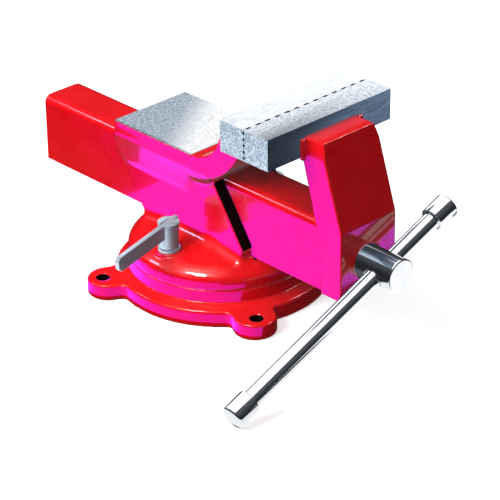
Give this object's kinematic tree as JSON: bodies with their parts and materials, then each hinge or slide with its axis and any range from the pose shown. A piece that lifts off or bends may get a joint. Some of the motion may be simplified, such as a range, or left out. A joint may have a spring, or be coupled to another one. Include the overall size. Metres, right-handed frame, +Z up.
{
  "type": "bench vise",
  "caption": "Swivel-base bench vise with box slide, serrated steel jaw bars, anvil, screw with sliding tommy bar, and swivel lock levers.",
  "frame": {"origin": "middle of the base's underside, on the swivel axis", "axes": "+Z up along the swivel axis, +Y rearwards along the slide, +X to the right of a person at the handle (-Y)"},
  "size_m": [0.2506, 0.3741, 0.175],
  "materials": {
    "red_enamel": "glossy red enamel on cast iron, machined bare on the anvil",
    "ground_steel": "ground hardened steel with serrated gripping face",
    "dark_steel": "blackened steel",
    "bright_chrome": "polished chrome plate",
    "bronze": "turned bronze",
    "zinc_plate": "zinc-plated steel"
  },
  "bodies": {
    "base": {"swivel_base": "red_enamel"},
    "body": {"vise_body": "red_enamel", "fixed_jaw_bar": "ground_steel", "fixed_jaw_screws": "dark_steel", "screw_nut": "bronze", "nut_bolts": "dark_steel", "pivot_bolt": "dark_steel", "pivot_washer": "zinc_plate", "pivot_nut": "dark_steel", "lock_washer_left": "zinc_plate", "lock_bolt_left": "dark_steel", "lock_washer_right": "zinc_plate", "lock_bolt_right": "dark_steel"},
    "jaw": {"moving_jaw": "red_enamel", "moving_jaw_bar": "ground_steel", "moving_jaw_screws": "dark_steel"},
    "screw": {"lead_screw": "bright_chrome", "thrust_washer": "bronze", "thrust_spring": "dark_steel", "retaining_collar": "dark_steel", "collar_pin": "dark_steel"},
    "handle": {"handle_bar": "bright_chrome", "handle_cap_left": "bright_chrome", "handle_cap_right": "bright_chrome"},
    "lever_left": {"lock_hub_left": "zinc_plate", "lock_arm_left": "zinc_plate"},
    "lever_right": {"lock_hub_right": "zinc_plate", "lock_arm_right": "zinc_plate"}
  },
  "joints": [
    {"name": "swivel", "type": "hinge", "parent": "base", "child": "body", "pos_m": [0, 0, 0], "axis": [0, 0, 1], "continuous": true},
    {"name": "jaw_slide", "type": "slide", "parent": "body", "child": "jaw", "axis": [0, -1, 0], "range_m": [0, 0.125]},
    {"name": "screw_turn", "type": "hinge", "parent": "jaw", "child": "screw", "pos_m": [0, -0.17, 0.071], "axis": [0, -1, 0], "range_deg": [0, 9000]},
    {"name": "handle_slide", "type": "slide", "parent": "screw", "child": "handle", "axis": [0.9272, 0, 0.3746], "range_m": [-0.0405, 0.1305]},
    {"name": "lever_left_turn", "type": "hinge", "parent": "body", "child": "lever_left", "pos_m": [-0.055, 0, 0.05], "axis": [0, 0, 1], "range_deg": [-83, 67]},
    {"name": "lever_right_turn", "type": "hinge", "parent": "body", "child": "lever_right", "pos_m": [0.055, 0, 0.05], "axis": [0, 0, 1], "range_deg": [-135, 15]}
  ],
  "couplings": [
    {"joint": "jaw_slide", "follows": "screw_turn", "m_per_rad": 0.00079577}
  ]
}
